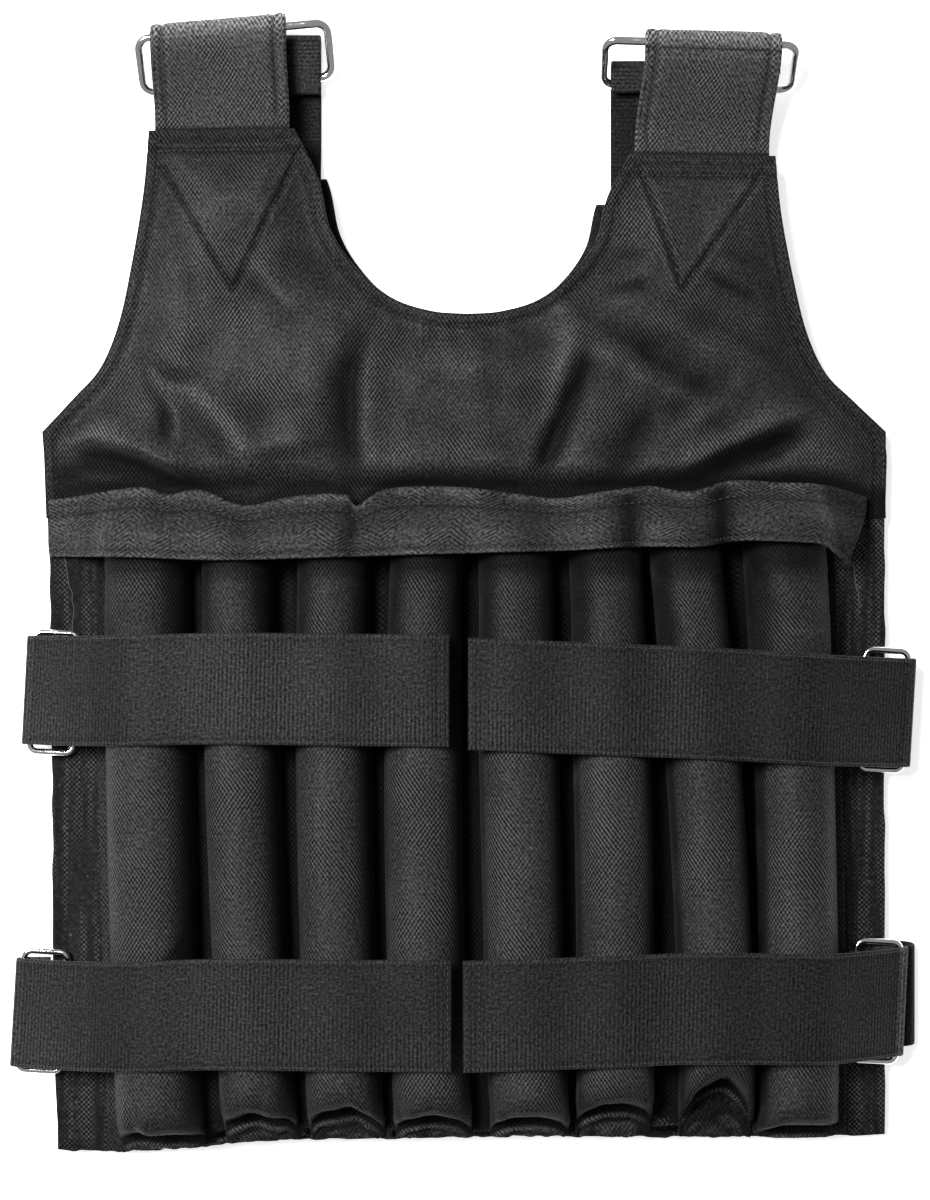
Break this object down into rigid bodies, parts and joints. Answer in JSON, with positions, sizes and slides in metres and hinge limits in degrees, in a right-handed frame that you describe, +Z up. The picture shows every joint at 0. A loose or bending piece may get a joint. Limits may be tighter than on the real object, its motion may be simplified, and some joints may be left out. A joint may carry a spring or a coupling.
{
  "type": "weighted vest",
  "caption": "Pull-over weighted vest, laid flat: lined front and back panels, upright sleeves of weight bags, webbing waist straps and wire rings at sides and shoulders.",
  "frame": {"origin": "middle of the base, on the surface that the vest lies on", "axes": "+Z up out of the vest's front, +Y from hem to shoulders, +X to the right as the front is seen"},
  "size_m": [0.4592, 0.5782, 0.0676],
  "materials": {
    "lining_cloth": "matt black woven lining",
    "oxford_cloth": "charcoal black oxford weave",
    "twill_band": "charcoal herringbone twill tape",
    "webbing": "black ribbed webbing",
    "bag_cloth": "black canvas",
    "ring_steel": "bright plated wire"
  },
  "bodies": {
    "root": {"back_panel": "lining_cloth", "front_panel": "lining_cloth", "chest_cloth": "oxford_cloth", "pocket_sheet": "oxford_cloth", "weight_bag_1": "bag_cloth", "weight_bag_2": "bag_cloth", "weight_bag_3": "bag_cloth", "weight_bag_4": "bag_cloth", "weight_bag_5": "bag_cloth", "weight_bag_6": "bag_cloth", "weight_bag_7": "bag_cloth", "weight_bag_8": "bag_cloth", "pocket_flap": "twill_band", "waist_strap_upper_left": "webbing", "side_ring_upper_left": "ring_steel", "ring_tab_upper_left": "webbing", "waist_strap_upper_right": "webbing", "side_ring_upper_right": "ring_steel", "ring_tab_upper_right": "webbing", "waist_strap_lower_left": "webbing", "side_ring_lower_left": "ring_steel", "ring_tab_lower_left": "webbing", "waist_strap_lower_right": "webbing", "side_ring_lower_right": "ring_steel", "ring_tab_lower_right": "webbing", "front_shoulder_strap_left": "oxford_cloth", "shoulder_ring_left": "ring_steel", "back_shoulder_strap_left": "webbing", "front_shoulder_strap_right": "oxford_cloth", "shoulder_ring_right": "ring_steel", "back_shoulder_strap_right": "webbing"}
  },
  "joints": []
}
